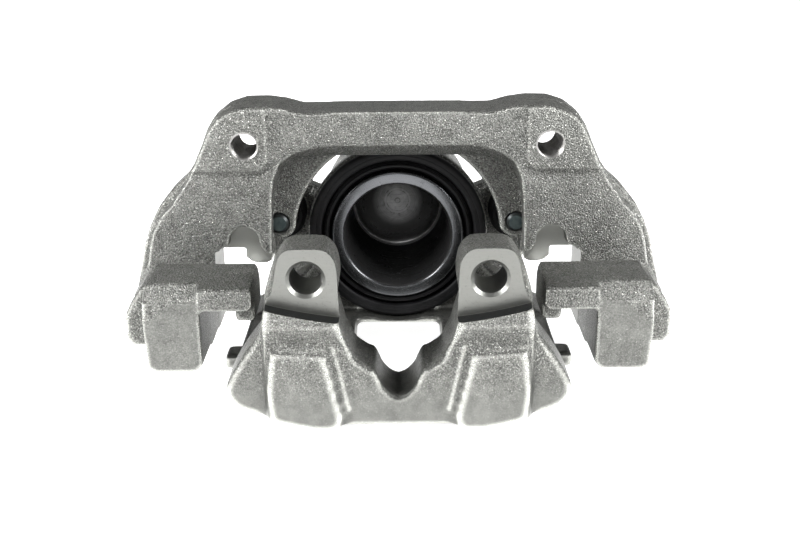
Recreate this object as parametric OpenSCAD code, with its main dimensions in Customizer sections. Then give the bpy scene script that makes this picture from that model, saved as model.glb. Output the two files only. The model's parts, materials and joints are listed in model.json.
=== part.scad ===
// Floating brake caliper with its carrier bracket, one 57 mm piston.
// Millimetres. X along the bracket, +Y inboard, +Z towards the wheel centre.
// Origin midway between the two bracket bolt holes, on the inboard mounting face.

/* [Bracket] */
// Thickness of the bracket plate
plate_t = 24; // [20:1:28]
// Distance between the two mounting bolt holes
bolt_pitch = 123.6; // [118:0.2:130]
// Radius of the tapped mounting holes (M12 tap drill)
bolt_hole_r = 5.1; // [4.2:0.1:6]
// Height of the raised pad round each mounting hole
ear_pad_t = 1; // [0.4:0.1:2]
// Height of the machined pad round each hole on the inboard side
mount_pad_t = 1; // [0.5:0.1:2]
// Gap across the brake disc, between plate and outboard blocks
disc_gap = 18; // [16:0.5:22]
// Depth of the outboard blocks
block_t = 24.4; // [18:0.2:28]
// Thickness of the two wings that carry the guide bolts
wing_t = 10; // [8:0.5:14]

/* [Cylinder] */
// Piston radius
piston_r = 28.5; // [26:0.5:30]
// Piston length
piston_len = 57; // [50:1:58]
// Depth of the hollow in the piston
cup_depth = 52; // [36:1:53]
// Radial running fit of the piston
piston_fit = 0.04; // [0.02:0.01:0.08]
// Outer radius of the cylinder
barrel_r = 39.2; // [38.8:0.1:40]
// Distance of the piston axis below the bolt holes
bore_drop = 44.2; // [43:0.1:46]

/* [Fingers] */
// Inner side of the outboard fingers
finger_in_y = -60.5; // [-64:0.5:-58]
// Thickness of the outboard fingers
finger_t = 18.5; // [15:0.5:22]
// Distance of each finger hole from the middle
finger_hole_x = 34; // [32:0.5:36]
// Radius of the finger holes
finger_hole_r = 6.2; // [4:0.1:7]

/* [Guides] */
// Distance of each guide bolt from the middle
guide_x = 50.6; // [49.5:0.1:51]
// Radius of the guide sleeves
sleeve_r = 7; // [6:0.1:7.4]
// Length of the guide sleeves
sleeve_len = 45; // [39:1:49]
// Radial running fit of the guide sleeves
sleeve_fit = 0.04; // [0.02:0.01:0.08]

/* [Hidden] */
$fn = 96;
eps = 0.01;
lap = 1;

cast_zinc = [0.62, 0.62, 0.58];
steel = [0.72, 0.72, 0.72];
zinc_plate = [0.6, 0.64, 0.66];
rubber = [0.06, 0.06, 0.06];
black_plastic = [0.1, 0.1, 0.1];

plate_y = -plate_t;
pad_y = plate_y - ear_pad_t;
shoulder_y = -13;
back_y = -mount_pad_t;
mount_pad_r = 13.4;
chamfer = 1.2;
block_rear_y = pad_y - disc_gap;
block_front_y = block_rear_y - block_t;
bar_front_y = block_front_y - 0.6;
leg_top_front_y = block_front_y + 5.4;
bore_z = -bore_drop;
guide_z = bore_z + 6.7;
guide_thread_r = 4;
lug_r = 7.3;
wing_circle_r = 44;

// brake disc the arms and the bridge reach over
disc_axis_z = 63;
disc_clear_r = 143.5;

block_top_z = -44.8;
block_low_z = -79.6;
bar_low_z = -54.2;
foot_low_z = -60.2;
slot_in_x = 64;
slot_out_x = 76.6;
slot_top_z = -45.2;
scoop_depth = 5;
block_tilt = 3.8;
scoop_r = 6.2;
scoop_z = -41;

barrel_front_y = -3;
barrel_back_y = 54;
end_wall_y = 51;
boss_back_y = 62;
rim_y = -8;
seal_y = 12;
seal_w = 3.2;
seal_out_r = piston_r + 3;
boot_seat_r = 34.6;
boot_seat_y = 3;
boot_r = 38.3;

finger_out_y = finger_in_y - finger_t;
wall_front_y = finger_out_y - 4.2;
ledge_front_y = finger_out_y - 6.8;
side_front_y = finger_out_y - 1.5;
rib_front_y = finger_out_y - 7;
ledge_r = 184.8;
ledge_axis_z = 132;
finger_hole_z = bore_z + 7.5;
bridge_top_z = -81.2;
bridge_back_y = 16;
lip_y = -10;
lip_low_z = -84.8;
window_x = 18.6;

ear_front_y = 14;
ear_back_y = 42;
ear_boss_r = 12.2;
ear_web_t = 9.4;
bush_r = 9;
cap_back_y = 55;

hose_x = -13;
hose_z = bore_z - 7;
hose_r = 4.5;
bleed_x = 17;
bleed_z = bore_z + 17;
bleed_thread_r = 4;

module both() { children(); mirror([1, 0, 0]) children(); }

// flat outline in X and Z, given thickness from y0 to y1
module slab(y0, y1) {
    translate([0, y1, 0]) rotate([90, 0, 0]) linear_extrude(y1 - y0) children();
}

// round bar along Y
module rod(r, y0, y1, x = 0, z = 0) {
    translate([x, y1, z]) rotate([90, 0, 0]) cylinder(r = r, h = y1 - y0);
}

// cone frustum along Y, r0 at y0
module taper(r0, r1, y0, y1, x = 0, z = 0) {
    translate([x, y0, z]) rotate([-90, 0, 0]) cylinder(r1 = r0, r2 = r1, h = y1 - y0);
}

// turned section: points are [radius, y]
module turned(points, x = 0, z = 0) {
    translate([x, 0, z]) rotate([-90, 0, 0]) rotate_extrude() polygon(points);
}

module ring(r_in, r_out, y0, y1, x = 0, z = 0) {
    difference() {
        rod(r_out, y0, y1, x, z);
        rod(r_in, y0 - lap, y1 + lap, x, z);
    }
}

module plate_outline() {
    polygon([[0, 13.6], [27, 13.6], [38.9, 13.3], [45.6, 15.2], [50.7, 16], [61.5, 15.8],
        [66.5, 14.3], [72.2, 11.1], [75.5, 6.7], [78.3, 0.5], [81.9, -7.1], [86.2, -14.8],
        [93, -24.5], [97.6, -29.4], [101.1, -35], [103.3, -41.1], [104.2, -46.2],
        [105.2, -51.5], [112, -64], [113.4, -69], [113.4, -75.5], [110.5, -79.3],
        [slot_out_x, block_low_z], [slot_out_x, slot_top_z], [slot_in_x, slot_top_z],
        [slot_in_x - 0.4, -50.2], [62, -52], [59.5, -52.5], [55.5, -52.5], [53, -51.2],
        [52.7, -49], [51.7, -30], [0, -30]]);
}

// the inboard half of the plate spreads wider at the shoulders
module shoulder_outline() {
    polygon([[0, 13.6], [38.9, 13.5], [45.6, 15.4], [53, 16.4], [62, 16.2], [69, 14],
        [75, 9.4], [78.2, 4.5], [81, -2.5], [84.8, -10.5], [88.5, -15.8], [94.5, -21],
        [101, -29], [105.3, -37], [108.3, -45], [110.4, -54], [113, -64], [113.4, -69],
        [113.4, -75.5], [110.5, -79.3], [104, -78], [98, -46], [70, 0], [0, 10]]);
}

module window_half(top, corner, widen) {
    polygon([[0, top], [28, top], [33, top - 0.4], [40.7, top - 2.4], [47.6, -8.4 - corner],
        [50.6 + widen / 2, -15 - corner], [51.6 + widen, -23 - corner], [52.7 + widen, -49],
        [52.7 + widen, -95], [0, -95]]);
}

module window_outline(top, corner, widen = 0) {
    both() window_half(top, corner, widen);
}

module wing_outline() {
    difference() {
        union() {
            polygon([[10, 0], [53.5, 0], [53.5, guide_z - 4], [guide_x, guide_z - lug_r],
                [guide_x - 6.4, guide_z - 3.5], [40, -38], [10, -38]]);
            translate([guide_x, guide_z]) circle(r = lug_r);
        }
        translate([0, bore_z]) circle(r = wing_circle_r);
    }
}

module arm_outline() {
    difference() {
        polygon([[slot_out_x, -54], [98, -52.4], [104.5, -53.6], [108.8, -60], [111.9, -66.2],
            [112, -76], [109.5, -79.4], [slot_out_x, block_low_z]]);
        translate([0, disc_axis_z]) circle(r = disc_clear_r, $fn = 360);
    }
}

// the top of the block rises a little towards the disc
module block_roof() {
    translate([50, block_front_y, block_top_z]) rotate([block_tilt, 0, 0])
        translate([0, -20, 0]) cube([60, 60, 12]);
}

module block_leg() {
    difference() {
        slab(block_front_y, block_rear_y + lap)
            polygon([[76.4, block_top_z + 3], [95.6, block_top_z + 3], [98, -45], [98.6, -62],
                [98, -77.6], [95, block_low_z], [79.2, block_low_z], [76.4, -77]]);
        block_roof();
        // long slope along the top front edge
        translate([60, leg_top_front_y, block_top_z]) rotate([45, 0, 0])
            translate([0, -20, 0]) cube([60, 20, 20]);
        // slope across the upper outer corner
        translate([84.5, block_front_y, -49]) rotate([0, 40, 0]) rotate([38, 0, 0])
            translate([-10, -20, 0]) cube([60, 20, 20]);
    }
}

module block_bar() {
    difference() {
        slab(bar_front_y, block_rear_y)
            polygon([[56, block_top_z], [57.4, block_top_z + 3], [77, block_top_z + 3],
                [77, bar_low_z], [57.6, bar_low_z], [56, bar_low_z + 2]]);
        block_roof();
    }
    slab(bar_front_y + 5, block_rear_y)
        polygon([[55.4, -47], [63.3, -47], [63.3, foot_low_z + 1], [62.3, foot_low_z],
            [56.6, foot_low_z], [55.4, foot_low_z + 1]]);
}

module pad_slots() {
    // round-topped scoop for the pad ear in the face of the plate, flaring towards its foot
    slab(pad_y - lap, plate_y + scoop_depth) {
        translate([slot_in_x, scoop_z]) circle(r = scoop_r);
        polygon([[slot_in_x - scoop_r, scoop_z], [slot_in_x + scoop_r, scoop_z],
            [slot_in_x + 7.2, -43.4], [slot_out_x, slot_top_z], [slot_out_x, -46],
            [slot_in_x, -46], [slot_in_x, -54], [51.6, -54], [51.6, -47.3], [55.6, -45.6],
            [57.4, -43.4]]);
    }
    // straight part of the slot, right through
    slab(pad_y - lap, lap)
        polygon([[slot_in_x, slot_top_z], [slot_out_x, slot_top_z], [slot_out_x, -82],
            [slot_in_x, -82]]);
}

module bracket() {
    color(cast_zinc) difference() {
        union() {
            difference() {
                slab(plate_y, back_y) both() plate_outline();
                slab(plate_y - lap, -wing_t) window_outline(-5.7, 3);
                slab(plate_y + 7, -wing_t) window_outline(-5.7, 3, 1.7);
                slab(-wing_t - lap, lap) {
                    translate([0, bore_z]) circle(r = wing_circle_r);
                    window_outline(-8, 3);
                }
                // sloped lip round the top of the window
                hull() {
                    slab(plate_y - lap, plate_y) window_outline(-0.2, -1);
                    slab(plate_y + 5, plate_y + 5 + eps) window_outline(-5.7, 3);
                }
            }
            both() {
                slab(-wing_t, back_y) wing_outline();
                slab(shoulder_y, back_y) shoulder_outline();
                rod(mount_pad_r, back_y - lap, 0, bolt_pitch / 2, 0);
                slab(pad_y, plate_y + eps) intersection() {
                    plate_outline();
                    polygon([[52.5, 30], [52.5, -7], [56, -10.4], [120, -10.4], [120, 30]]);
                }
                slab(block_rear_y, plate_y + lap) arm_outline();
                block_leg();
                block_bar();
            }
        }
        both() {
            rod(bolt_hole_r, pad_y - lap, lap, bolt_pitch / 2, 0);
            taper(bolt_hole_r + chamfer, bolt_hole_r, pad_y - eps, pad_y + chamfer, bolt_pitch / 2, 0);
            rod(guide_thread_r + 0.02, -wing_t - lap, lap, guide_x, guide_z);
            pad_slots();
        }
    }
}

module finger_outline() {
    polygon([[21.7, -56], [22, -48], [22.3, -35], [22.7, -31.5], [23.4, -28.9], [24.9, -26.6],
        [27.2, -25.1], [30, -24.8], [38.5, -24.8], [41.4, -25.3], [43.3, -27], [44.6, -30.4],
        [45.6, -36], [48.3, -47.8], [49.4, -56]]);
}

// behind its machined seat the finger is wider on the outer side
module finger_back_outline() {
    polygon([[21, -56], [21.3, -46], [21.8, -36], [22.3, -32], [23.4, -28.6], [26, -25.9],
        [30.6, -24.6], [38.8, -24.8], [42.4, -26.4], [44.8, -29], [47.4, -34.4], [50.2, -44],
        [50.8, -56]]);
}

module wall_outline() {
    polygon([[0, -70], [8.8, -70], [16.5, -66], [20.5, -58], [22.4, -48], [49.2, -44],
        [51, -54], [53, -59.4], [58, -66], [63, -74], [66, -80], [66.2, -82.2],
        [64.2, -86.8], [60.2, -89.8], [51, -92.6], [43.8, -93.4], [20, -95.3], [0, -95.3]]);
}

module notch_outline() {
    polygon([[0, -40], [23.2, -40], [23.2, -47.2], [20.4, -57.5], [16.5, -66.9],
        [12.4, -70.2], [8.9, -71.6], [7.5, -75], [6, -78.6], [3.6, -81.5], [0, -83.1]]);
}

module rib_outline() {
    polygon([[27.5, -64], [29.5, -62.4], [46.2, -61.4], [47.8, -62.6], [49.8, -80],
        [48.8, -92.2], [43.8, -93.6], [34.4, -95.8], [26.4, -96.4], [22.4, -95.6], [21.6, -90]]);
}

module beam_outline() {
    polygon([[window_x, bridge_top_z], [65.4, bridge_top_z], [66.2, -82.2], [64.2, -86.8],
        [60.2, -89.8], [51, -92.6], [43.8, -93.6], [34.4, -95.8], [26.4, -96.4],
        [20, -95.4], [window_x, -93]]);
}

module housing_outline() {
    polygon([[0, -60], [36, -58], [50, -71.5], [60, -78.6], [65.4, -81.2], [66.2, -82.2],
        [64.2, -86.8], [60.2, -89.8], [window_x, -92], [window_x, lip_low_z],
        [0, lip_low_z]]);
}

module ear_outline() {
    polygon([[0, -46], [guide_x - 8, -46], [guide_x + 8, guide_z - 9], [guide_x + 8.6, -56],
        [55, -70], [38, -76], [0, -76]]);
    translate([guide_x, guide_z]) circle(r = ear_boss_r);
}

// thin web between the ear's boss and the cylinder
module ear_web_outline() {
    polygon([[20, -36], [33, -29.6], [38.5, -27.2], [guide_x - 3, guide_z + ear_boss_r - 0.4],
        [guide_x - 3, -48], [20, -48]]);
}

module finger_wall() {
    difference() {
        union() {
            slab(finger_out_y, finger_in_y) finger_outline();
            slab(finger_out_y + 3, finger_in_y) finger_back_outline();
            slab(side_front_y, finger_in_y + lap) wall_outline();
            slab(wall_front_y, finger_in_y) intersection() {
                wall_outline();
                polygon([[0, -45], [50.4, -45], [50.4, -110], [0, -110]]);
            }
            slab(rib_front_y, bridge_back_y) intersection() {
                rib_outline();
                polygon([[20, -86], [52, -86], [52, -110], [20, -110]]);
            }
            slab(rib_front_y, finger_in_y) rib_outline();
            // ledge under the machined seat, drawing back towards the rib
            intersection() {
                slab(ledge_front_y, finger_in_y) wall_outline();
                translate([20, 0, 0]) rotate([90, 0, 90]) linear_extrude(30.4)
                    polygon([[finger_in_y, -40], [ledge_front_y, -40], [ledge_front_y, -52.6],
                        [ledge_front_y + 0.8, -55.4], [wall_front_y, -60.6],
                        [finger_in_y, -60.6]]);
            }
        }
        // machined seat on each finger, ending in a shallow arc
        slab(rib_front_y - lap, finger_out_y) intersection() {
            translate([0, ledge_axis_z]) circle(r = ledge_r, $fn = 360);
            polygon([[0, 0], [70, 0], [70, -70], [0, -70]]);
        }
    }
}

module caliper_body() {
    color(cast_zinc) difference() {
        union() {
            turned([[0, barrel_front_y], [barrel_r, barrel_front_y], [barrel_r, 3.6],
                [barrel_r - 2.2, 5.6], [barrel_r - 2.8, 15], [barrel_r - 4.8, 20],
                [barrel_r - 4.8, barrel_back_y - 2], [barrel_r - 7.2, barrel_back_y + 1.6],
                [barrel_r - 11, barrel_back_y + 3], [0, barrel_back_y + 3]], 0, bore_z);
            both() {
                finger_wall();
                slab(finger_in_y - lap, bridge_back_y) beam_outline();
                slab(lip_y, bridge_back_y) difference() {
                    housing_outline();
                    translate([0, bore_z]) circle(r = boot_r + 0.6);
                    polygon([[0, 0], [70, 0], [70, -70], [56, -81.2], [0, -81.2]]);
                }
                slab(barrel_front_y + 2, bridge_back_y) housing_outline();
                slab(ear_front_y, ear_back_y) ear_outline();
                slab(ear_front_y, ear_front_y + ear_web_t) ear_web_outline();
                rod(ear_boss_r - 1.4, ear_front_y - 2, ear_back_y + 2, guide_x, guide_z);
                // cast lug on each side of the bridge
                slab(-38, -26.5)
                    polygon([[55, -86.5], [72, -86.2], [73, -87.2], [73, -92], [72, -93],
                        [55, -93]]);
            }
            // hose boss and bleeder boss on the closed end
            rod(11, barrel_back_y, boss_back_y, hose_x, hose_z);
            rod(8, barrel_back_y, boss_back_y + 4, bleed_x, bleed_z);
        }
        both() slab(rib_front_y - lap, finger_in_y + 2 * lap) notch_outline();
        // cylinder bore, seal groove and boot seat
        rod(piston_r + piston_fit, barrel_front_y - 9, end_wall_y, 0, bore_z);
        rod(seal_out_r + 0.05, seal_y - seal_w / 2, seal_y + seal_w / 2, 0, bore_z);
        rod(boot_seat_r, barrel_front_y - 9, boot_seat_y, 0, bore_z);
        both() {
            rod(finger_hole_r, rib_front_y - lap, finger_in_y + lap, finger_hole_x, finger_hole_z);
            taper(finger_hole_r + chamfer, finger_hole_r, finger_out_y - eps,
                finger_out_y + chamfer, finger_hole_x, finger_hole_z);
            rod(bush_r, ear_front_y - 3, ear_back_y + 3, guide_x, guide_z);
        }
        // hose port with its drilling into the cylinder
        rod(hose_r, barrel_back_y - 0.5, boss_back_y + lap, hose_x, hose_z);
        rod(2, end_wall_y - lap, barrel_back_y, hose_x, hose_z);
        // bleeder seat with its drilling into the cylinder
        rod(bleed_thread_r + 0.02, barrel_back_y + 1, boss_back_y + 5, bleed_x, bleed_z);
        rod(1.5, end_wall_y - lap, barrel_back_y + 2, bleed_x, bleed_z);
    }
}

module piston() {
    back = rim_y + piston_len;
    floor_y = rim_y + cup_depth;
    color(steel) turned([[0, back], [0, floor_y], [16.5, floor_y], [19, floor_y - 0.8],
        [20.8, floor_y - 2.6], [21.5, floor_y - 5], [22.6, rim_y + 8], [22.85, rim_y + 1],
        [23.6, rim_y], [piston_r - 0.8, rim_y], [piston_r, rim_y + 0.8],
        [piston_r, rim_y + 4], [piston_r - 1.6, rim_y + 4.4], [piston_r - 1.6, rim_y + 7],
        [piston_r, rim_y + 7.4], [piston_r, back - 1.5], [piston_r - 1.5, back]], 0, bore_z);
}

module piston_seal() {
    color(rubber) ring(piston_r + 0.02, seal_out_r, seal_y - seal_w / 2 + 0.1,
        seal_y + seal_w / 2 - 0.1, 0, bore_z);
}

// folded rubber boot from the housing seat to the groove in the piston
module dust_boot() {
    color(rubber) turned([[piston_r - 1.3, rim_y + 4.9], [piston_r + 1.6, rim_y + 4.2],
        [piston_r + 2.6, rim_y + 3.2], [30.6, -6.2], [31.4, -6.2], [31.9, -5.2],
        [33, -5.2], [33.6, -6.6], [35.2, -7], [37.4, -6.5], [boot_r, -5.2],
        [boot_r, -3.3], [34.3, -3.3], [34.3, -0.4], [33.2, -0.4], [33, -3.6], [31.6, -3.9],
        [30.6, -3.4], [29.4, -2.4], [piston_r + 0.4, -1.6], [piston_r - 1.3, -1.6]], 0, bore_z);
}

module boot_ring() {
    color(steel) turned([[31.2, -0.3], [34.58, -0.3], [34.58, 2.9], [33.6, 2.9], [33.6, 0.8],
        [31.2, 0.8]], 0, bore_z);
}

module guide_bolt() {
    head_y = back_y + sleeve_len;
    color(zinc_plate) difference() {
        union() {
            rod(guide_thread_r, -wing_t - 0.2, back_y, guide_x, guide_z);
            taper(3.1, guide_thread_r, -wing_t - 1.1, -wing_t - 0.2 + eps, guide_x, guide_z);
            rod(guide_thread_r - 0.1, back_y, head_y + lap, guide_x, guide_z);
            rod(6.5, head_y, head_y + 4.4, guide_x, guide_z);
            taper(6.5, 6, head_y + 4.4 - eps, head_y + 5, guide_x, guide_z);
        }
        translate([guide_x, head_y + 6, guide_z]) rotate([90, 0, 0])
            cylinder(r = 3.5, h = 4.5, $fn = 6);
    }
}

module guide_sleeve() {
    color(steel) ring(guide_thread_r - 0.05, sleeve_r, back_y + 0.02, back_y + sleeve_len - 0.02,
        guide_x, guide_z);
}

module guide_bush() {
    color(black_plastic) ring(sleeve_r + sleeve_fit, bush_r - 0.02, ear_front_y - 1.5,
        ear_back_y + 1.5, guide_x, guide_z);
}

module guide_boot() {
    color(rubber) turned([[7.4, -0.6], [9, -0.6], [10.4, 1.4], [8.9, 3.6], [10.6, 5.8],
        [8.9, 7.6], [10.4, 9.4], [10.4, 11.6], [7.5, 11.6], [7.5, 10.2], [9.2, 9.4],
        [7.7, 7.6], [9.4, 5.8], [7.7, 3.6], [9.2, 1.6], [7.4, 0.6]], guide_x, guide_z);
}

module guide_cap() {
    color(black_plastic) turned([[0, cap_back_y], [0, cap_back_y - 1.4], [7.2, cap_back_y - 1.4],
        [7.6, cap_back_y - 2], [7.6, ear_back_y + 2.1], [10.6, ear_back_y + 2.1],
        [10.6, ear_back_y + 4], [9, ear_back_y + 4.4], [9, cap_back_y - 1], [8, cap_back_y]],
        guide_x, guide_z);
}

module bleed_screw() {
    seat_y = barrel_back_y + 1.6;
    hex_y = boss_back_y + 5.5;
    color(zinc_plate) difference() {
        union() {
            taper(1.6, bleed_thread_r - 0.8, seat_y, seat_y + 2.5, bleed_x, bleed_z);
            rod(bleed_thread_r - 0.8, seat_y + 2.4, seat_y + 4, bleed_x, bleed_z);
            rod(bleed_thread_r, seat_y + 4, hex_y, bleed_x, bleed_z);
            translate([bleed_x, hex_y + 6, bleed_z]) rotate([90, 0, 0])
                cylinder(r = 5.2, h = 6, $fn = 6);
            rod(3.1, hex_y + 6 - eps, hex_y + 9, bleed_x, bleed_z);
            taper(3.6, 2.4, hex_y + 9 - eps, hex_y + 13, bleed_x, bleed_z);
        }
        rod(1.1, hex_y - 4, hex_y + 14, bleed_x, bleed_z);
    }
}

module bleed_cap() {
    y0 = boss_back_y + 5.5 + 6.1;
    color(rubber) turned([[3.7, y0], [5.4, y0], [5.4, y0 + 2], [4.7, y0 + 3], [4.6, y0 + 9],
        [3.8, y0 + 10.6], [0, y0 + 10.6], [0, y0 + 8.4], [3.7, y0 + 8.2]], bleed_x, bleed_z);
}

bracket();
caliper_body();
piston();
piston_seal();
dust_boot();
boot_ring();
mirror([1, 0, 0]) guide_bolt();  // guide_bolt_left
guide_bolt();  // guide_bolt_right
mirror([1, 0, 0]) guide_sleeve();  // guide_sleeve_left
guide_sleeve();  // guide_sleeve_right
mirror([1, 0, 0]) guide_bush();  // guide_bush_left
guide_bush();  // guide_bush_right
mirror([1, 0, 0]) guide_boot();  // guide_boot_left
guide_boot();  // guide_boot_right
mirror([1, 0, 0]) guide_cap();  // guide_cap_left
guide_cap();  // guide_cap_right
bleed_screw();
bleed_cap();
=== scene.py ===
# Floating disc brake caliper: two zinc coated castings, ground piston, rubber boots and guides,
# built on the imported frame. Lengths in the dictionaries are millimetres, angles are degrees.
import bpy
import bmesh
import json
import math
import numpy as np
from mathutils import Euler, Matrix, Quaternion, Vector


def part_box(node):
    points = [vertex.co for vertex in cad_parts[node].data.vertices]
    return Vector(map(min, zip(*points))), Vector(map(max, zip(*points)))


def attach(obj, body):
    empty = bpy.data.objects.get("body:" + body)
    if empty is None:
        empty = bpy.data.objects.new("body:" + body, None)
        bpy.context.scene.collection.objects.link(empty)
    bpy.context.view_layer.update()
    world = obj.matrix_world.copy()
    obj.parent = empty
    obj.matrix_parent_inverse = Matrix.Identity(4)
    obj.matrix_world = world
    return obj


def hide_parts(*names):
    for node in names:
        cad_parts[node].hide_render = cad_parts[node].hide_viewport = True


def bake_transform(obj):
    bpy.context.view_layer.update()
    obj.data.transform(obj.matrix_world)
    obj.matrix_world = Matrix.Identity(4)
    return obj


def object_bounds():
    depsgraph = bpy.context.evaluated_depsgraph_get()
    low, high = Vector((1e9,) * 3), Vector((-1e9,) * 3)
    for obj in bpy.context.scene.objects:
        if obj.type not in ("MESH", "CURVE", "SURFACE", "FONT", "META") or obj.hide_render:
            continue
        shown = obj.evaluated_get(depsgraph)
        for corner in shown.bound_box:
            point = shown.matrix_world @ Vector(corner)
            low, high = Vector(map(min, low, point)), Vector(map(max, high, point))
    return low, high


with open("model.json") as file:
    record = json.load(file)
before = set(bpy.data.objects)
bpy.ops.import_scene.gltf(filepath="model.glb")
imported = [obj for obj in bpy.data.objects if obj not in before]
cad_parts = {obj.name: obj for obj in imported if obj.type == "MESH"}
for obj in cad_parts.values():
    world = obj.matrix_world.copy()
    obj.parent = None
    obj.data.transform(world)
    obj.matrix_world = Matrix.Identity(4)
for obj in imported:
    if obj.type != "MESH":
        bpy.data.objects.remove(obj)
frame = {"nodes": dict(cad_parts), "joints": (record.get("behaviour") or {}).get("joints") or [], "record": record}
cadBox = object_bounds()
nodes = frame["nodes"]
mounts = {m["name"]: m for m in frame["record"]["mounts"]}
joints = {j["name"]: j for j in frame["joints"]}
scene = bpy.context.scene
mm = 0.001
print("frame loaded:", len(nodes), "nodes")


def mountPlace(name):
    # a mount's position in millimetres
    return [v / mm for v in mounts[name]["pos_m"]]


def lowHigh(node):
    # a node's two corners in millimetres
    low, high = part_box(node)
    return np.array(low) / mm, np.array(high) / mm


pistonLow, pistonHigh = lowHigh("piston")
pistonAxis = ((pistonLow[0] + pistonHigh[0]) / 2, (pistonLow[2] + pistonHigh[2]) / 2)
sleeveLow, sleeveHigh = lowHigh("guide_sleeve_right")
guideAxis = ((sleeveLow[0] + sleeveHigh[0]) / 2, (sleeveLow[2] + sleeveHigh[2]) / 2)
knuckleHole = mounts["knuckle_bolts"]["dims"]
boltX = knuckleHole["spacing_x_mm"] / 2
fingerHole = mountPlace("finger_hole_right")
hosePort = mountPlace("hose_port")


# the eye: millimetres in front of and above the frame's origin, looking down, slightly rolled
view = {"back": 440, "up": 104.4, "pitch": 20.7, "lens": 47.6, "sideShift": 0.0025, "roll": 0.45}


def setCamera():
    eye = bpy.data.cameras.new("viewCamera")
    eye.lens, eye.sensor_width = view["lens"], 36
    eye.shift_x = view["sideShift"]
    eye.clip_start, eye.clip_end = 0.01, 20
    rig = bpy.data.objects.new("viewCamera", eye)
    rig.rotation_mode = "QUATERNION"
    rig.location = (0, -view["back"] * mm, view["up"] * mm)
    turn = Euler((math.radians(90 - view["pitch"]), 0, 0)).to_quaternion()
    rig.rotation_quaternion = turn @ Quaternion((0, 0, 1), math.radians(-view["roll"]))
    scene.collection.objects.link(rig)
    scene.camera = rig


setCamera()
print("camera set")


def freshObject(name, mesh):
    made = bpy.data.objects.new(name, mesh)
    scene.collection.objects.link(made)
    return made


def gridMesh(name, points, wrapAcross=True, wrapAlong=True):
    # points[i, j] is a net in millimetres: i runs round, j runs along; neighbours make quads,
    # and a net that wraps joins its last row to its first. Doubles merge and faces turn outwards.
    around, along = points.shape[:2]
    index = np.arange(around * along).reshape(around, along)
    right = np.roll(index, -1, 0) if wrapAcross else index[1:]
    left = index if wrapAcross else index[:-1]
    if wrapAlong:
        quads = np.stack([left, right, np.roll(right, -1, 1), np.roll(left, -1, 1)], -1)
    else:
        quads = np.stack([left[:, :-1], right[:, :-1], right[:, 1:], left[:, 1:]], -1)
    mesh = bpy.data.meshes.new(name)
    mesh.from_pydata(points.reshape(-1, 3) * mm, [], quads.reshape(-1, 4))
    shell = bmesh.new()
    shell.from_mesh(mesh)
    bmesh.ops.remove_doubles(shell, verts=shell.verts, dist=1e-7)
    bmesh.ops.recalc_face_normals(shell, faces=shell.faces)
    shell.to_mesh(mesh)
    shell.free()
    return mesh


def softened(corners, cut, steps=4):
    # every corner gives way to a small arc: from a point `cut` before it to a point `cut` after
    # it, as (1-t)^2 a + 2t(1-t) corner + t^2 b
    p = np.array(corners, float)
    cut = np.broadcast_to(np.asarray(cut, float), len(p))[:, None]

    def towards(q):
        step = q - p
        size = np.maximum(np.linalg.norm(step, axis=1, keepdims=True), 1e-9)
        return p + step * np.minimum(cut / size, 0.48)

    a, b = towards(np.roll(p, 1, 0)), towards(np.roll(p, -1, 0))
    t = np.linspace(0, 1, steps)[None, :, None]
    arcs = (1 - t) ** 2 * a[:, None] + 2 * t * (1 - t) * p[:, None] + t ** 2 * b[:, None]
    return arcs.reshape(-1, 2)


def turned(name, profile, axis, steps=144):
    # a closed profile of radius and depth turned about a line along Y:
    # x = axis x + r cos a, y = depth, z = axis z + r sin a
    a = np.linspace(0, 2 * np.pi, steps, endpoint=False)[:, None]
    r, y = np.array(profile, float).T[:, None, :]
    net = np.stack([axis[0] + r * np.cos(a), y + 0 * a, axis[1] + r * np.sin(a)], -1)
    return gridMesh(name, net)


def prism(name, outline, near, far):
    # an outline in X and Z carried along Y from near to far, each end closed by a fan from its
    # mean point: point(s, i) = mean + s (outline[i] - mean), s from 0 to 1
    xz = np.array(outline, float)
    middle = xz.mean(0)
    ends = [(0, near), (1, near), (1, far), (0, far)]
    net = np.stack([np.column_stack([middle[0] + s * (xz[:, 0] - middle[0]), np.full(len(xz), y),
                                     middle[1] + s * (xz[:, 1] - middle[1])])
                    for s, y in ends], 1)
    return gridMesh(name, net)


def mirrored(mesh):
    # the same shell on the other side of the middle plane: x becomes -x, faces turn back outwards
    twin = mesh.copy()
    points = pointsOf(mesh) * (-1, 1, 1)
    twin.vertices.foreach_set("co", points.astype(np.float32).ravel())
    twin.flip_normals()
    return twin


def together(name, meshes):
    # several shells in one mesh
    shell = bmesh.new()
    for mesh in meshes:
        shell.from_mesh(mesh)
    mesh = bpy.data.meshes.new(name)
    shell.to_mesh(mesh)
    shell.free()
    return mesh


def pointsOf(mesh):
    flat = np.empty(len(mesh.vertices) * 3, np.float32)
    mesh.vertices.foreach_get("co", flat)
    return flat.reshape(-1, 3).astype(float)


def normalsOf(mesh):
    flat = np.empty(len(mesh.vertices) * 3, np.float32)
    mesh.vertex_normals.foreach_get("vector", flat)
    return flat.reshape(-1, 3).astype(float)


def relaxed(points, edges, rounds, share):
    # each point goes a share of the way to the mean of its neighbours, round after round
    a, b = np.concatenate([edges, edges[:, ::-1]]).T
    count = np.bincount(a, minlength=len(points))[:, None]
    for _ in range(rounds):
        mean = np.stack([np.bincount(a, points[b, k], len(points)) for k in range(3)], 1) / count
        points = points + share * (mean - points)
    return points


def unevenness(points):
    # slow hills and hollows of a sand mould: products of sines of the place, between 0 and 1
    x, y, z = points.T / mm
    slow = np.sin(x / 5.3 + 1.1) * np.sin(y / 4.1 + 0.4) + np.sin(z / 4.7 + x / 9.0 + 2.0)
    quick = np.sin(x / 1.9 + z / 2.3) * np.sin(y / 2.1 - z / 1.7 + 0.8)
    return np.clip(0.5 + 0.2 * slow + 0.12 * quick, 0, 1)


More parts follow.
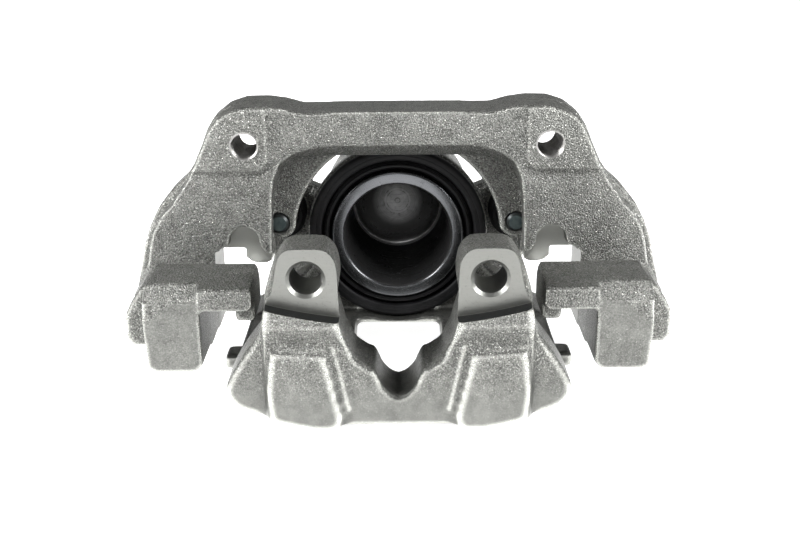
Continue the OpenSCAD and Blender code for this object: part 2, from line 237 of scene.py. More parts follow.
def applied(obj, kind, **settings):
    # runs one modifier and keeps its result as the object's mesh
    step = obj.modifiers.new("step", kind)
    for key, value in settings.items():
        setattr(step, key, value)
    done = bpy.data.meshes.new_from_object(
        obj.evaluated_get(bpy.context.evaluated_depsgraph_get()))
    obj.modifiers.clear()
    obj.data = done
    return obj


def marked(mesh, number):
    # remembers on each face whether a cutter made it
    kind = mesh.attributes.new("machined", "INT", "FACE")
    kind.data.foreach_set("value", np.full(len(mesh.polygons), number, np.int32))
    return mesh


def carved(obj, shape):
    tool = freshObject("tool", shape)
    applied(obj, "BOOLEAN", operation="DIFFERENCE", object=tool, solver="MANIFOLD")
    bpy.data.objects.remove(tool)


def smoothShaded(mesh, angle=35):
    mesh.polygons.foreach_set("use_smooth", np.ones(len(mesh.polygons), bool))
    mesh.set_sharp_from_angle(angle=math.radians(angle))


def finished(name, mesh, material, body, angle=35):
    # a new piece: shaded, given its material, and set to ride on its body
    mesh.materials.clear()
    mesh.materials.append(material)
    smoothShaded(mesh, angle)
    made = freshObject(name, mesh)
    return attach(made, body) if body else made


def casting(name, node, hollows, stock, cutters, how):
    # The node's solid loses its hollows and has its bores filled, is remeshed, relaxed so that
    # its edges turn round as in a sand mould, made slightly uneven, and then machined: the
    # cutters leave sharp faces.
    rough = nodes[node].data.copy()
    shell = bmesh.new()
    shell.from_mesh(rough)
    bmesh.ops.remove_doubles(shell, verts=shell.verts, dist=1e-6)
    shell.to_mesh(rough)
    shell.free()
    obj = freshObject(name, together(name, [rough]))
    for hollow in hollows:
        carved(obj, hollow)
    obj.data = together(name, [obj.data] + stock)
    applied(obj, "REMESH", mode="VOXEL", voxel_size=how["voxel"] * mm, adaptivity=0)
    mesh = obj.data
    start = pointsOf(mesh)
    edges = np.empty(len(mesh.edges) * 2, np.int32)
    mesh.edges.foreach_get("vertices", edges)
    edges = edges.reshape(-1, 2)
    points = relaxed(start, edges, how["rounds"], 0.5)
    mesh.vertices.foreach_set("co", points.astype(np.float32).ravel())
    mesh.update()
    out = normalsOf(mesh)
    shaved = ((start - points) * out).sum(1) / (how["voxel"] * mm)
    smoothedShave = relaxed(np.repeat(shaved[:, None], 3, 1), edges, 2, 0.5)[:, 0]
    points = points - out * (how["uneven"] * mm * unevenness(points))[:, None]
    mesh.vertices.foreach_set("co", points.astype(np.float32).ravel())
    convexity = mesh.attributes.new("edgeWear", "FLOAT", "POINT")
    convexity.data.foreach_set("value", np.clip(smoothedShave * 2.2, -1, 1).astype(np.float32))
    mesh.update()
    print(name, "cast:", len(mesh.polygons), "faces")
    marked(mesh, 0)
    for cutter in cutters:
        carved(obj, marked(cutter, 1))
    mesh = obj.data
    kinds = np.empty(len(mesh.polygons), np.int32)
    mesh.attributes["machined"].data.foreach_get("value", kinds)
    mesh.materials.clear()
    mesh.materials.append(castSkin)
    mesh.materials.append(machinedFace)
    mesh.polygons.foreach_set("material_index", kinds)
    smoothShaded(mesh, how["sharpAngle"])
    points = pointsOf(mesh)
    for label in ("polish", "bare"):
        spread = mesh.attributes.new(label, "FLOAT", "POINT")
        spread.data.foreach_set("value", how[label](*(points.T / mm)).astype(np.float32))
    print(name, "machined:", len(mesh.polygons), "faces,", int(kinds.sum()), "cut")
    return obj


class Wire:
    # wraps a socket of a node tree, so that maths on it is written as ordinary expressions
    def __init__(self, tree, socket=None):
        self.tree, self.socket = tree, socket

    def node(self, kind, settings=None, sockets=None, out=0):
        made = self.tree.nodes.new(kind)
        for key, value in (settings or {}).items():
            if key == "stops":
                ramp = made.color_ramp.elements
                while len(ramp) < len(value):
                    ramp.new(0.5)
                for element, (at, colour) in zip(ramp, value):
                    element.position, element.color = at, colour
            else:
                setattr(made, key, value)
        for key, value in (sockets or {}).items():
            if isinstance(value, Wire):
                self.tree.links.new(value.socket, made.inputs[key])
            else:
                made.inputs[key].default_value = value
        return Wire(self.tree, made.outputs[out])

    def maths(self, operation, a, b=0.0, clamp=False):
        return self.node("ShaderNodeMath", {"operation": operation, "use_clamp": clamp},
                         {0: a, 1: b})

    def __add__(self, other):
        return self.maths("ADD", self, other)

    def __sub__(self, other):
        return self.maths("SUBTRACT", self, other)

    def __rsub__(self, other):
        return self.maths("SUBTRACT", other, self)

    def __mul__(self, other):
        return self.maths("MULTIPLY", self, other)

    def __pow__(self, other):
        return self.maths("POWER", self, other)

    __radd__ = __add__
    __rmul__ = __mul__

    def clamped(self):
        return self.maths("ADD", self, 0.0, clamp=True)

    def between(self, low, high):
        # 0 below low, 1 above high, straight in between
        return self.node("ShaderNodeMapRange", {"clamp": True},
                         {"Value": self, "From Min": low, "From Max": high})

    def blend(self, first, second):
        # the first colour where self is 0, the second where it is 1
        return self.node("ShaderNodeMix", {"data_type": "RGBA"},
                         {0: self, 6: first, 7: second}, out=2)

    def noise(self, scale, detail=2.0, roughness=0.5, distortion=0.0):
        return self.node("ShaderNodeTexNoise", {}, {
            "Vector": self, "Scale": scale, "Detail": detail, "Roughness": roughness,
            "Distortion": distortion})

    def cells(self, scale, randomness=1.0):
        return self.node("ShaderNodeTexVoronoi", {}, {
            "Vector": self, "Scale": scale, "Randomness": randomness})

    def split(self):
        parts = self.node("ShaderNodeSeparateXYZ", {}, {0: self}).socket.node.outputs
        return [Wire(self.tree, part) for part in parts]

    def joined(self, x, y, z):
        return self.node("ShaderNodeCombineXYZ", {}, {0: x, 1: y, 2: z})

    def bump(self, distance, strength=1.0):
        return self.node("ShaderNodeBump", {}, {
            "Height": self, "Distance": distance, "Strength": strength})


def finish(name, recipe, **fixed):
    # a Principled material: fixed values sit on its own sockets, the recipe gives the rest
    made = bpy.data.materials.new(name)
    made.use_nodes = True
    tree = made.node_tree
    shader = tree.nodes["Principled BSDF"]
    for key, value in fixed.items():
        shader.inputs[key.replace("_", " ")].default_value = value
    place = Wire(tree).node("ShaderNodeTexCoord", out=3)
    for key, wire in recipe(place).items():
        tree.links.new(wire.socket, shader.inputs[key])
    return made


def grey(value, warm=0.0):
    return (value * (1 + warm), value, value * (1 - 1.6 * warm), 1)


def radiusFrom(place, axis):
    # distance from a line along Y, in metres
    x, y, z = place.split()
    return ((x - axis[0] * mm) ** 2 + (z - axis[1] * mm) ** 2) ** 0.5, y


# spark is the pale colour of the painted glints, the painted edge highlights and the scoop floor painted as if lit
castLook = {"dark": 0.07, "light": 0.33, "spark": 0.8, "grainSize": 0.52, "gritSize": 0.7,
            "sparkSize": 0.7, "relief": 0.6}


def zinc(value):
    # the faintly green grey of zinc on iron
    return (value, value * 1.01, value * 0.945, 1)


def castRecipe(place):
    # sandy zinc skin: grain and grit set light and dark specks, and painted glints stand for a few
    # crystals catching the light; edges that look down or sideways get a painted highlight (partly
    # edge wear), edges that look up get painted shade, convex edges are painted lighter and hollows
    # painted darker as shade; polished places have less grain, and the smooth scoop floor is painted pale as if
    # lit
    grain = place.noise(1000 / castLook["grainSize"], 2.0, 0.6)
    grit = place.cells(1000 / castLook["gritSize"])
    # painted glints: small pale specks that stand for crystals catching the lamps
    spark = place.noise(1000 / castLook["sparkSize"], 1.0, 0.5).between(0.59, 0.76)
    tone = place.noise(45, 3.0, 0.55)
    blotch = place.noise(230, 2.0, 0.5)
    convexity = place.node("ShaderNodeAttribute", {"attribute_name": "edgeWear"}, out=2)
    polish = place.node("ShaderNodeAttribute", {"attribute_name": "polish"}, out=2)
    up = place.node("ShaderNodeTexCoord", out=1).split()[2].between(0.08, 0.40)
    bare = place.node("ShaderNodeAttribute", {"attribute_name": "bare"}, out=2)
    rough = (1 - polish * 0.9 - bare * 0.7).clamped()
    # painted highlight on convex edges that face down or sideways, partly edge wear
    wornAndLitEdge = convexity.between(0.12, 0.62) * (1 - up)
    # painted shade on convex edges that face up
    topEdgeShade = convexity.between(0.10, 0.50) * up
    speck = ((grain - 0.5) * 2.1 + (0.42 - grit) * 0.5) * rough + 0.36 - polish * 0.04
    # painted shade and highlight: hollows are painted darker and convex edges lighter, following the edge
    # convexity
    mix = speck + (tone - 0.5) * 0.3 + (blotch - 0.5) * 0.45 + convexity * 0.3 - topEdgeShade * 0.45
    # painted light: glints, lit edges and the smooth scoop floor are blended towards the pale spark colour
    light = (spark * rough * 0.5 + wornAndLitEdge * (grain * 0.9 + 0.05) + bare * 0.5).clamped()
    colour = light.blend(mix.clamped().blend(zinc(castLook["dark"]), zinc(castLook["light"])),
                         zinc(castLook["spark"]))
    height = (grain * 0.8 + (1 - grit) * 0.5) * rough + blotch * 0.4
    return {"Base Color": colour, "Normal": height.bump(castLook["relief"] * mm),
            "Roughness": (0.35 - spark * 0.1 - wornAndLitEdge * 0.1 + topEdgeShade * 0.2).clamped()}


# depths in millimetres of the painted shadow line on the ledge wall
machinedLook = {"ledgeFrom": -79.6, "ledgeTo": -79.2}


def machinedRecipe(place):
    # fine parallel feed marks and a faint cloudiness; in front of the finger faces the ledge wall
    # gets a painted shadow line, and the floors of the scoops are painted pale as if lit
    x, y, z = place.split()
    marks = place.joined(x * 0.12, y, z).noise(2600, 2.0, 0.5)
    cloud = place.noise(160, 3.0, 0.6)
    pit = place.noise(1500, 1.0, 0.4).between(0.66, 0.74)
    bare = place.node("ShaderNodeAttribute", {"attribute_name": "bare"}, out=2)
    plain = ((cloud * 0.5 + marks * 0.5) - pit * 0.35).clamped().blend(zinc(0.165), zinc(0.24))
    # painted light: the smooth floors of the scoops are painted pale
    plain = (bare * 0.8).clamped().blend(plain, zinc(0.5))
    # painted shadow: the ledge wall in front of the finger faces is painted near black
    ledge = 1 - y.between(machinedLook["ledgeFrom"] * mm, machinedLook["ledgeTo"] * mm)
    colour = (ledge * (0.8 + marks * 0.2)).clamped().blend(plain, (0.022, 0.024, 0.025, 1))
    return {"Base Color": colour, "Normal": (marks - pit).bump(0.03 * mm),
            "Roughness": cloud * 0.14 + marks * 0.1 + 0.26}


def groundRecipe(place):
    # rings of a lathe and grinder about the piston's line, with a few fine scratches
    radius, y = radiusFrom(place, pistonAxis)
    rings = place.joined(radius, y, 0.0).noise(2400, 2.0, 0.6)
    scratch = place.noise(700, 3.0, 0.7, 2.0).between(0.62, 0.68)
    stain = place.noise(90, 3.0, 0.5)
    return {"Base Color": (rings * 0.6 + stain * 0.4).blend((0.075, 0.078, 0.083, 1),
                                                         (0.165, 0.169, 0.177, 1)),
            "Roughness": rings * 0.16 + scratch * 0.12 + 0.16,
            "Normal": (rings + scratch * 0.4).bump(0.02 * mm)}


# depths and radii in millimetres of the painted highlight line at the floor fillet
cupLook = {"swirlFrom": 3, "swirlTo": 12, "edgeDepth": (39.3, 39.8, 41.2, 41.6),
           "edgeRadius": (19.8, 20.3), "floorDepth": (41.2, 41.8)}


def cupRecipe(place):
    # blackened steel with turning rings, paler swirls near the middle of the floor that are turning
    # marks with a painted sheen, a painted highlight line where the floor meets the wall, and a floor darker than
    # the wall
    radius, y = radiusFrom(place, pistonAxis)
    rings = place.joined(radius, y, 0.0).noise(1300, 3.0, 0.65)
    swirl = place.noise(170, 3.0, 0.6, 1.5)
    # the paler swirls near the middle are turning marks carrying a painted sheen
    near = 1 - radius.between(cupLook["swirlFrom"] * mm, cupLook["swirlTo"] * mm)
    start, full, fade, end = [depth * mm for depth in cupLook["edgeDepth"]]
    away = radius.between(*[value * mm for value in cupLook["edgeRadius"]])
    # painted highlight: a pale line where the floor fillet meets the wall
    filletHighlight = y.between(start, full) * (1 - y.between(fade, end)) * away
    pale = (rings * swirl * near * 1.6 + filletHighlight * 1.6).clamped()
    tone = place.noise(60, 2.0, 0.5)
    floor = y.between(*[depth * mm for depth in cupLook["floorDepth"]])
    dark = ((rings * 0.5 + tone * 0.5) * (1 - floor * 0.75)).blend((0.012, 0.012, 0.012, 1),
                                                                 (0.095, 0.095, 0.097, 1))
    colour = pale.blend(dark, (0.62, 0.62, 0.62, 1))
    return {"Base Color": colour, "Roughness": rings * 0.16 + swirl * 0.12 + 0.16,
            "Normal": (rings + swirl * 0.3).bump(0.03 * mm)}


def threadRecipe(place):
    # cut thread with oily patches
    oil = place.noise(260, 3.0, 0.6)
    chatter = place.noise(2200, 2.0, 0.5)
    return {"Base Color": (oil * 0.6 + chatter * 0.4).between(0.3, 0.7).blend(
                grey(0.18, 0.02), grey(0.45, 0.02)),
            "Roughness": oil * 0.2 + 0.24, "Normal": chatter.bump(0.03 * mm)}


def rubberRecipe(place):
    # glossy black rubber, faint mould grain and dusty patches
    dust = place.noise(70, 4.0, 0.6)
    grain = place.noise(1800, 2.0, 0.5)
    return {"Base Color": dust.between(0.45, 0.75).blend((0.003, 0.003, 0.0035, 1),
                                                       (0.010, 0.010, 0.011, 1)),
            "Roughness": dust * 0.2 + grain * 0.08 + 0.38,
            "Normal": grain.bump(0.02 * mm)}


def platedRecipe(place):
    # blue zinc plate with slow colour drift
    drift = place.noise(140, 3.0, 0.6)
    grain = place.noise(1500, 2.0, 0.5)
    return {"Base Color": drift.between(0.3, 0.7).blend((0.16, 0.21, 0.225, 1),
                                                      (0.32, 0.36, 0.36, 1)),
            "Roughness": grain * 0.15 + drift * 0.15 + 0.22,
            "Normal": grain.bump(0.03 * mm)}


# radii in millimetres where the teal end gives way to the painted chamfer shade
boltLook = {"cleanTo": 2.9, "darkFrom": 3.2}


def boltRecipe(place):
    # the plated tip of a guide bolt: a teal end, with painted shade on its turned chamfer
    x, y, z = place.split()
    side = x.maths("ABSOLUTE", x) - guideAxis[0] * mm
    fromLine = (side ** 2 + (z - guideAxis[1] * mm) ** 2) ** 0.5
    drift = place.noise(300, 3.0, 0.6)
    tealEnd = drift.between(0.3, 0.7).blend((0.05, 0.070, 0.072, 1), (0.11, 0.14, 0.14, 1))
    # painted shade on the chamfer ring round the tip
    chamferShade = fromLine.between(boltLook["cleanTo"] * mm, boltLook["darkFrom"] * mm)
    return {"Base Color": chamferShade.blend(tealEnd, (0.03, 0.035, 0.035, 1)),
            "Roughness": drift * 0.2 + 0.3}


def nylonRecipe(place):
    # moulded nylon with a fine leathery grain
    grain = place.cells(1100)
    tone = place.noise(120, 2.0, 0.5)
    return {"Base Color": tone.blend((0.018, 0.018, 0.020, 1), (0.045, 0.045, 0.048, 1)),
            "Roughness": grain * 0.2 + 0.4, "Normal": grain.bump(0.05 * mm)}


castSkin = finish("castSkin", castRecipe, Metallic=0.8)
machinedFace = finish("machinedFace", machinedRecipe, Metallic=0.85)
groundSteel = finish("groundSteel", groundRecipe, Metallic=1.0)
blackenedSteel = finish("blackenedSteel", cupRecipe, Metallic=0.6)
bootRubber = finish("bootRubber", rubberRecipe, Specular_IOR_Level=0.25)
threadSteel = finish("threadSteel", threadRecipe, Metallic=0.9)
bluePlate = finish("bluePlate", platedRecipe, Metallic=0.9)
boltPlate = finish("boltPlate", boltRecipe, Metallic=0.6)
blackNylon = finish("blackNylon", nylonRecipe)
print("materials made")


bracketHow = {
    "voxel": 0.8, "rounds": 5, "uneven": 0.12, "sharpAngle": 38,
    "threadDepth": 0.8, "threadPitch": 1.75, "padRadius": 13.4,
    "slotIn": 64.0, "slotOut": 76.6, "slotTop": -45.2, "slotLow": -79.6,
    "scoopAt": (64.0, -41.0), "scoopRadius": 6.2, "scoopDepth": 5.0,
    "plateFront": -24.0,
}


def bracketPolish(x, y, z):
    # 1 on the smooth lower fronts of the outboard legs, below the slanted line
    side = np.abs(x)
    leg = np.clip((-y - 66.9) / 0.4, 0, 1) * np.clip((side - 77) / 1, 0, 1)
    slant = np.clip((-49.2 - (side - 85) * 0.83 - z) / 0.8, 0, 1)
    return leg * slant * 0.75


def bracketLitFloor(x, y, z):
    # 1 on the smooth floor of the scoop for the pad ear and beside the foot of the slot, which is painted pale as
    # if lit
    side = np.abs(x)
    floor = np.clip((y + 20.6) / 0.8, 0, 1) * np.clip((-16.5 - y) / 1, 0, 1)
    return floor * np.clip((77.5 - side) / 1, 0, 1) * np.clip((side - 50) / 1, 0, 1) * (z < -33)


bracketHow["polish"] = bracketPolish
bracketHow["bare"] = bracketLitFloor


def bothSides(meshes):
    return list(meshes) + [mirrored(mesh) for mesh in meshes]


def makeBracket():
    how = bracketHow
    back = mountPlace("mounting_face")[1]
    face = bracketHow["plateFront"] - 1
    bore = knuckleHole["hole_r_mm"] + how["threadDepth"]
    slotIn, slotOut, slotTop = how["slotIn"], how["slotOut"], how["slotTop"]
    roof = [(slotIn - 1, slotTop + 1), (slotOut + 1, slotTop + 1), (slotOut + 1, slotTop - 1.5),
            (slotIn - 1, slotTop - 1.5)]
    inner = [(slotIn - 1, slotTop + 1), (slotIn + 1.5, slotTop + 1), (slotIn + 1.5, -50),
             (slotIn - 1, -50)]
    outer = [(slotOut - 1.5, slotTop + 1), (slotOut + 1, slotTop + 1),
             (slotOut + 1, how["slotLow"]), (slotOut - 1.5, how["slotLow"])]
    stock = bothSides([
        turned("plug", [(0, face), (6.8, face), (6.8, -2), (how["padRadius"], -2),
                        (how["padRadius"], 0.9), (0, 0.9)], (boltX, 0)),
        turned("plug", [(0, -10), (5, -10), (5, -1), (0, -1)], guideAxis),
        prism("plug", roof, how["plateFront"] + how["scoopDepth"], -1),
        prism("plug", inner, how["plateFront"] + how["scoopDepth"], -1),
        prism("plug", outer, how["plateFront"], -1),
    ])
    slot = softened([(slotIn, slotTop), (slotOut, slotTop), (slotOut, -84), (slotIn, -84)],
                    [1.2, 1.2, 0, 0])
    turn = np.linspace(np.pi, 0, 25)
    scoop = np.concatenate([
        np.column_stack([how["scoopAt"][0] + how["scoopRadius"] * np.cos(turn),
                         how["scoopAt"][1] + how["scoopRadius"] * np.sin(turn)]),
        [(how["scoopAt"][0] + how["scoopRadius"], -47), (how["scoopAt"][0] - how["scoopRadius"], -47)]])
    flareOut = [(69, -42.2), (70.4, -42.4), (71.4, -43.5), (slotOut, slotTop), (slotOut, -46.5),
                (69, -46.5)]
    flareIn = [(58.2, -42.6), (57.2, -43.6), (55.6, -45.6), (51.6, -47.3), (51.6, -53.4),
               (64.4, -53.4), (64.4, -42.6)]
    scoopFloor = how["plateFront"] + how["scoopDepth"] + 0.25
    cutters = bothSides([
        turned("cut", [(0, face - 3), (bore, face - 3), (bore, 2), (0, 2)], (boltX, 0)),
        turned("cut", [(bore - 0.5, back), (15, back), (15, 1.9), (bore - 0.5, 1.9)], (boltX, 0)),
        turned("cut", [(0, -14), (4.9, -14), (4.9, -10), (4.02, -9.2), (4.02, 1), (0, 1)],
               guideAxis),
        prism("cut", slot, how["plateFront"] - 1.4, 1),
        prism("cut", scoop, how["plateFront"] + 1.4, scoopFloor),
        prism("cut", flareOut, how["plateFront"] + 1.8, scoopFloor),
        prism("cut", flareIn, how["plateFront"] + 1.8, scoopFloor),
    ])
    return casting("bracketCasting", "bracket", [], stock, cutters, how)


def threaded(name, axis, minor, depth, pitch, near, far, steps=96):
    # A tube whose inner face is a screw thread: inner radius = minor + depth * w, where w is a
    # triangle wave of (depth along Y / pitch - angle / full turn). The outer face is round.
    a = np.linspace(0, 2 * np.pi, steps, endpoint=False)[:, None]
    y = np.linspace(near, far, int((far - near) / pitch * 10) + 1)[None, :]
    phase = (y / pitch - a / (2 * np.pi)) % 1
    wave = np.clip(1.5 * np.abs(2 * phase - 1) - 0.25, 0, 1)
    inner = minor + depth * wave
    outer = np.full((steps, 2), minor + depth + 0.1)
    r = np.concatenate([inner, outer], 1)
    along = np.concatenate([y + 0 * a, np.broadcast_to([far, near], (steps, 2))], 1)
    net = np.stack([axis[0] + r * np.cos(a), along, axis[1] + r * np.sin(a)], -1)
    return gridMesh(name, net)


bracket = makeBracket()
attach(bracket, "carrier")
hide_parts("bracket")
for side, name in ((1, "Right"), (-1, "Left")):
    thread = threaded("knuckleThread" + name, (side * boltX, 0), knuckleHole["hole_r_mm"],
                      bracketHow["threadDepth"], bracketHow["threadPitch"], -24.8, -0.05)
    finished("knuckleThread" + name, thread, threadSteel, "carrier", 60)
print("bracket made")


bodyHow = {
    "voxel": 1.05, "rounds": 7, "uneven": 0.16, "sharpAngle": 40,
    "fingerFace": -79.0, "wallFront": -83.2, "fingerBack": -60.5,
    "ledgeFront": -85.8, "ledgeAxisHeight": 132.0, "ledgeRadius": 184.8,
    "boreRadius": 28.54, "seatRadius": 34.6, "bushRadius": 9.0,
    "portThreadDepth": 0.45, "portPitch": 1.0,
}


def bodyPolish(x, y, z):
    # 1 low down, where the skin of the bridge is smooth, fading out upwards
    return np.clip((-66 - z) / 20, 0, 1)


bodyHow["polish"] = bodyPolish
bodyHow["bare"] = lambda x, y, z: np.zeros(len(x))


def makeHousing():
    how = bodyHow
    holeX, holeZ = fingerHole[0], fingerHole[2]
    portR = mounts["hose_port"]["dims"]["r_mm"] + how["portThreadDepth"]
    port = (hosePort[0], hosePort[2])
    bleed = tuple(joints["bleed_turn"]["pos_m"][k] / mm for k in (0, 2))
    stock = bothSides([
        prism("plug", [(21.8, -54), (22, -48), (22.3, -35), (22.7, -31.5), (23.4, -28.9),
                       (24.9, -26.6), (27.2, -25.1), (30, -24.8), (38.5, -24.8), (41.4, -25.3),
                       (43.3, -27), (44.6, -30.4), (45.6, -36), (48.3, -47.8), (49.2, -54)],
              how["fingerFace"] - 2, how["fingerFace"] + 3.5),
        prism("plug", [(21.9, -54), (22.2, -43), (47.4, -43), (49.8, -54)],
              how["ledgeFront"], how["fingerFace"] + 1),
        turned("plug", [(0, how["fingerFace"]), (7.6, how["fingerFace"]),
                        (7.6, how["fingerBack"]), (0, how["fingerBack"])], (holeX, holeZ)),
        turned("plug", [(0, 12), (10, 12), (10, 44), (0, 44)], guideAxis),
        prism("ridge", [(25.3, -61.5), (23.9, -61.5), (18.2, -88), (19.6, -89)],
              how["wallFront"] - 1.5, how["wallFront"] + 1),
    ]) + [
        turned("plug", [(0, -3), (36.4, -3), (36.4, 4), (33.4, 6), (33.4, 15), (31, 16),
                        (31, 52.5), (0, 52.5)], pistonAxis),
        turned("plug", [(0, 51), (11, 51), (11, 62.8), (0, 62.8)], port),
        turned("plug", [(0, 53), (8, 53), (8, 66.8), (0, 66.8)], bleed),
    ]
    hollows = bothSides([
        prism("hollow", [(26.5, -60.9), (47.6, -59.6), (47.6, -62.4), (26.5, -63.7)], -90, -84),
    ])
    x = np.linspace(-64, 64, 65)
    arc = np.column_stack([x, how["ledgeAxisHeight"] - np.sqrt(how["ledgeRadius"] ** 2 - x ** 2)])
    ledge = np.concatenate([arc, [(64, -12), (-64, -12)]])
    bore = how["boreRadius"]
    cutters = bothSides([
        turned("cut", [(0, -85), (7.4, -85), (7.4, how["fingerFace"]),
                       (6.2, how["fingerFace"] + 1.2), (6.2, -58), (0, -58)], (holeX, holeZ), 96),
        turned("cut", [(0, 8), (how["bushRadius"], 8), (how["bushRadius"], 48), (0, 48)],
               guideAxis),
    ]) + [
        prism("cut", ledge, -95, how["fingerFace"]),
        turned("cut", [(0, -12), (how["seatRadius"] + 0.6, -12), (how["seatRadius"] + 0.6, -3),
                       (how["seatRadius"], -2.4), (how["seatRadius"], 3), (bore, 3), (bore, 10.4),
                       (31.55, 10.4), (31.55, 13.6), (bore, 13.6), (bore, 51), (0, 51)],
               pistonAxis, 192),
        turned("cut", [(0, 50), (2, 50), (2, 53.5), (portR, 53.5), (portR, 61.3), (portR + 0.8, 62),
                       (13, 62), (13, 64), (0, 64)], port),
        turned("cut", [(0, 50), (1.5, 50), (1.5, 55), (4.02, 55), (4.02, 66), (10, 66),
                       (10, 68), (0, 68)], bleed),
    ]
    return casting("housingCasting", "caliper_body", hollows, stock, cutters, how)


housing = makeHousing()
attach(housing, "housing")
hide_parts("caliper_body")
portThread = threaded("portThread", (hosePort[0], hosePort[2]), mounts["hose_port"]["dims"]["r_mm"],
                      bodyHow["portThreadDepth"], bodyHow["portPitch"], 53.7, 61.2)
finished("portThread", portThread, threadSteel, "housing", 60)
print("housing made")


pistonLook = {"rimIn": 23.6, "cupRadius": 22.85, "floorDepth": 52.0}


def makePiston():
    # a turned cup: ground outside and rim, blackened inside; the floor meets the wall in a fillet
    y0, y1 = pistonLow[1], pistonHigh[1]
    r = (pistonHigh[0] - pistonLow[0]) / 2
    floor = y0 + pistonLook["floorDepth"]
    cup = softened([(pistonLook["rimIn"] - 0.2, y0 + 0.35), (pistonLook["cupRadius"], y0 + 1.2),
                    (22.6, y0 + 8), (21.5, floor - 9), (21.15, floor - 4.2), (20.6, floor - 2.9),
                    (18.5, floor - 1.9), (12, floor - 0.6), (6, floor), (0, floor)],
                   [0, 0.5, 1, 2, 0.5, 0.4, 1, 1.5, 0, 0])
    outside = softened([(0, y1), (r - 1.5, y1), (r, y1 - 1.5), (r, y0 + 7.4), (r - 1.6, y0 + 7),
                        (r - 1.6, y0 + 4.4), (r, y0 + 4), (r, y0 + 0.7), (r - 0.7, y0),
                        (pistonLook["rimIn"], y0)],
                       [0, 0.6, 0.6, 0.2, 0.2, 0.2, 0.2, 0.4, 0.4, 0.3])
    mesh = turned("pistonCup", np.concatenate([outside, cup]), pistonAxis, 192)
    mesh.materials.append(groundSteel)
    mesh.materials.append(blackenedSteel)
    centre = np.empty(len(mesh.polygons) * 3, np.float32)
    mesh.polygons.foreach_get("center", centre)
    x, y, z = centre.reshape(-1, 3).T / mm
    away = np.hypot(x - pistonAxis[0], z - pistonAxis[1])
    inside = (away < pistonLook["rimIn"] - 0.25) & (y > y0 + 0.4) & (y < floor + 0.5)
    mesh.polygons.foreach_set("material_index", inside.astype(np.int32))
    smoothShaded(mesh, 40)
    made = freshObject("pistonCup", mesh)
    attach(made, "piston")
    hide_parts("piston")


makePiston()
print("piston made")


bootLook = {"flangeFace": -7.0, "flangeIn": 32.8, "flangeOut": 38.35, "folds": 3,
            "foldDepth": 0.16}


def makeDustBoot():
    # the flange on the mouth of the cylinder: a broad flat ring with one faint groove
    face, far = bootLook["flangeFace"], bootLook["flangeOut"]
    flange = softened([(bootLook["flangeIn"], -5.4), (33.1, face + 0.4), (33.9, face),
                       (35.3, face + 0.02), (35.55, face + 0.2), (35.8, face + 0.05),
                       (37.2, face + 0.3), (far - 0.25, face + 1), (far, -5.2), (far, -3.25),
                       (34.4, -3.25), (34.4, -0.5), (33.3, -0.5)], 0.25)
    ring = finished("dustBootFlange", turned("dustBootFlange", flange, pistonAxis, 192),
                    bootRubber, "housing", 50)
    # the bellows: a wavy outer limb, a round fold in front and a plain inner limb on the piston;
    # radius of the outer limb = middle + foldDepth sin(2 pi folds t)
    t = np.linspace(0, 1, 49)
    wave = bootLook["foldDepth"] * np.sin(2 * np.pi * bootLook["folds"] * t)
    limb = np.column_stack([32.5 - 0.9 * t + wave, -3.3 - 1.9 * t])
    nose = softened([(31.6, -5.4), (31.3, -6.3), (30.4, -6.5), (29.6, -6.1), (29.2, -5.3)], 0.5)
    inner = [(28.95, -4.2), (28.9, -2.6), (27.3, -2.4), (27.3, -1.7), (29.6, -1.7), (29.9, -4.4),
             (30.3, -5.2), (30.8, -5.0)]
    back = np.column_stack([31.7 - 0.9 * t[::-1] * 0.9 + wave[::-1], -3.3 - 1.7 * t[::-1]])
    tail = [(31.7, -0.9), (33.2, -0.9), (33.2, -2.8)]
    profile = np.concatenate([limb, nose, inner, back, tail])
    bellows = finished("dustBootBellows", turned("dustBootBellows", profile, pistonAxis, 192),
                       bootRubber, None, 60)
    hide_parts("dust_boot")
    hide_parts("dust_boot")
    line = (pistonAxis[0] * mm, 0, pistonAxis[1] * mm)
    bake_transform(bellows)


makeDustBoot()
print("dust boot made")


guideLook = {"lip": 7.4, "valley": 8.6, "crest": 10.5, "wall": 1.1, "folds": 3}


def makeGuideBoot(side, name):
    # a short bellows: radius = valley + (crest - valley) * (1 - cos(2 pi folds t)) / 2, kept
    # `wall` thick, with a lip at each end
    low, high = lowHigh("guide_boot_" + name.lower())
    look = guideLook
    t = np.linspace(0, 1, 61)
    swell = (1 - np.cos(2 * np.pi * look["folds"] * t)) / 2
    r = look["valley"] + (look["crest"] - look["valley"]) * swell
    near, far = low[1] + 1.2, high[1] - 2.4
    y = near + (far - near) * t
    outside = np.column_stack([r, y])
    inside = np.column_stack([r[::-1] - look["wall"], y[::-1]])
    frontLip = [(look["lip"] + 0.05, low[1]), (8.9, low[1] + 0.05), (8.9, near - 0.3)]
    backLip = [(10.3, far + 0.4), (10.4, high[1] - 0.2), (10.2, high[1]), (7.6, high[1]),
               (7.5, high[1] - 1.2)]
    profile = np.concatenate([frontLip, outside, backLip, inside, [(look["lip"], near - 0.1)]])
    made = finished("guideBoot" + name, turned("guideBoot" + name, profile,
                    (side * guideAxis[0], guideAxis[1]), 96), bootRubber, None, 60)
    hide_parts("guide_boot_" + name.lower())
    side * guideAxis[0] * mm
    guideAxis[1] * mm
    side * guideAxis[0] * mm
    guideAxis[1] * mm
    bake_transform(made)


for side, name in ((1, "Right"), (-1, "Left")):
    makeGuideBoot(side, name)
print("guide boots made")


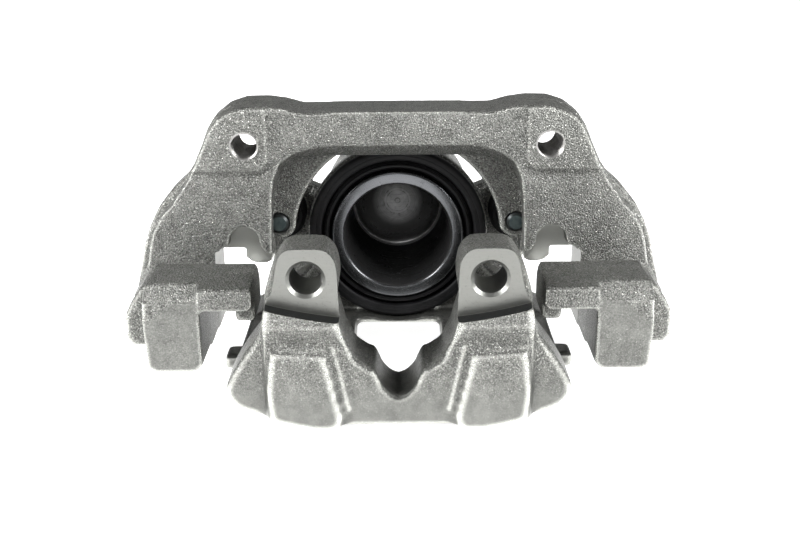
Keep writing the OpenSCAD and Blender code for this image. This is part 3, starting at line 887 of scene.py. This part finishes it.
keptLooks = {
    "guide_bolt_left": boltPlate, "guide_bolt_right": boltPlate, "bleed_screw": bluePlate,
    "guide_sleeve_left": groundSteel, "guide_sleeve_right": groundSteel,
    "boot_ring": groundSteel, "piston_seal": bootRubber, "bleed_cap": bootRubber,
    "guide_bush_left": blackNylon, "guide_bush_right": blackNylon,
    "guide_cap_left": blackNylon, "guide_cap_right": blackNylon,
}
for name, material in keptLooks.items():
    for holder in nodes[name].material_slots:
        holder.material = material


studio = {
    "floorTone": 0.90, "floorGlow": 0.86, "air": 0.16,
    "lamps": [
        # name, place, size, power, in metres and watts
        ("leftPanel", (-0.80, -0.25, 0.45), 0.45, 17),
        ("rightPanel", (0.80, -0.25, 0.40), 0.45, 15),
        ("frontPanel", (-0.15, -0.9, 0.70), 0.40, 1.4),
        ("backPanel", (0.1, 0.9, 0.8), 0.50, 1.2),
    ],
}


def floorRecipe(place):
    mottle = place.noise(9, 2.0, 0.5)
    tone = studio["floorTone"]
    return {"Base Color": mottle.blend(grey(tone), grey(tone + 0.015)),
            "Roughness": mottle * 0.1 + 0.7}


def makeStudio():
    low = cadBox[0][2] / mm - 0.3
    net = np.array([[(x, y, low) for y in (-3000.0, 3000.0)] for x in (-3000.0, 3000.0)])
    floor = freshObject("floor", gridMesh("floor", net, False, False))
    glow = studio["floorGlow"]
    floor.data.materials.append(finish("floorPaint", floorRecipe, Emission_Color=(1, 1, 1, 1),
                                       Emission_Strength=glow))
    middle = np.array([0.0, -0.02, -0.04])
    for name, spot, size, power in studio["lamps"]:
        lamp = bpy.data.lights.new(name, "AREA")
        lamp.shape, lamp.size, lamp.energy = "SQUARE", size, power
        rig = bpy.data.objects.new(name, lamp)
        rig.location = spot
        rig.rotation_euler = Vector(middle - np.array(spot)).to_track_quat("-Z", "Y").to_euler()
        scene.collection.objects.link(rig)
    air = bpy.data.worlds.new("studioAir")
    air.use_nodes = True
    air.node_tree.nodes["Background"].inputs["Color"].default_value = (1, 1, 1, 1)
    air.node_tree.nodes["Background"].inputs["Strength"].default_value = studio["air"]
    scene.world = air
    scene.view_settings.view_transform = "Standard"


makeStudio()
print("studio made")
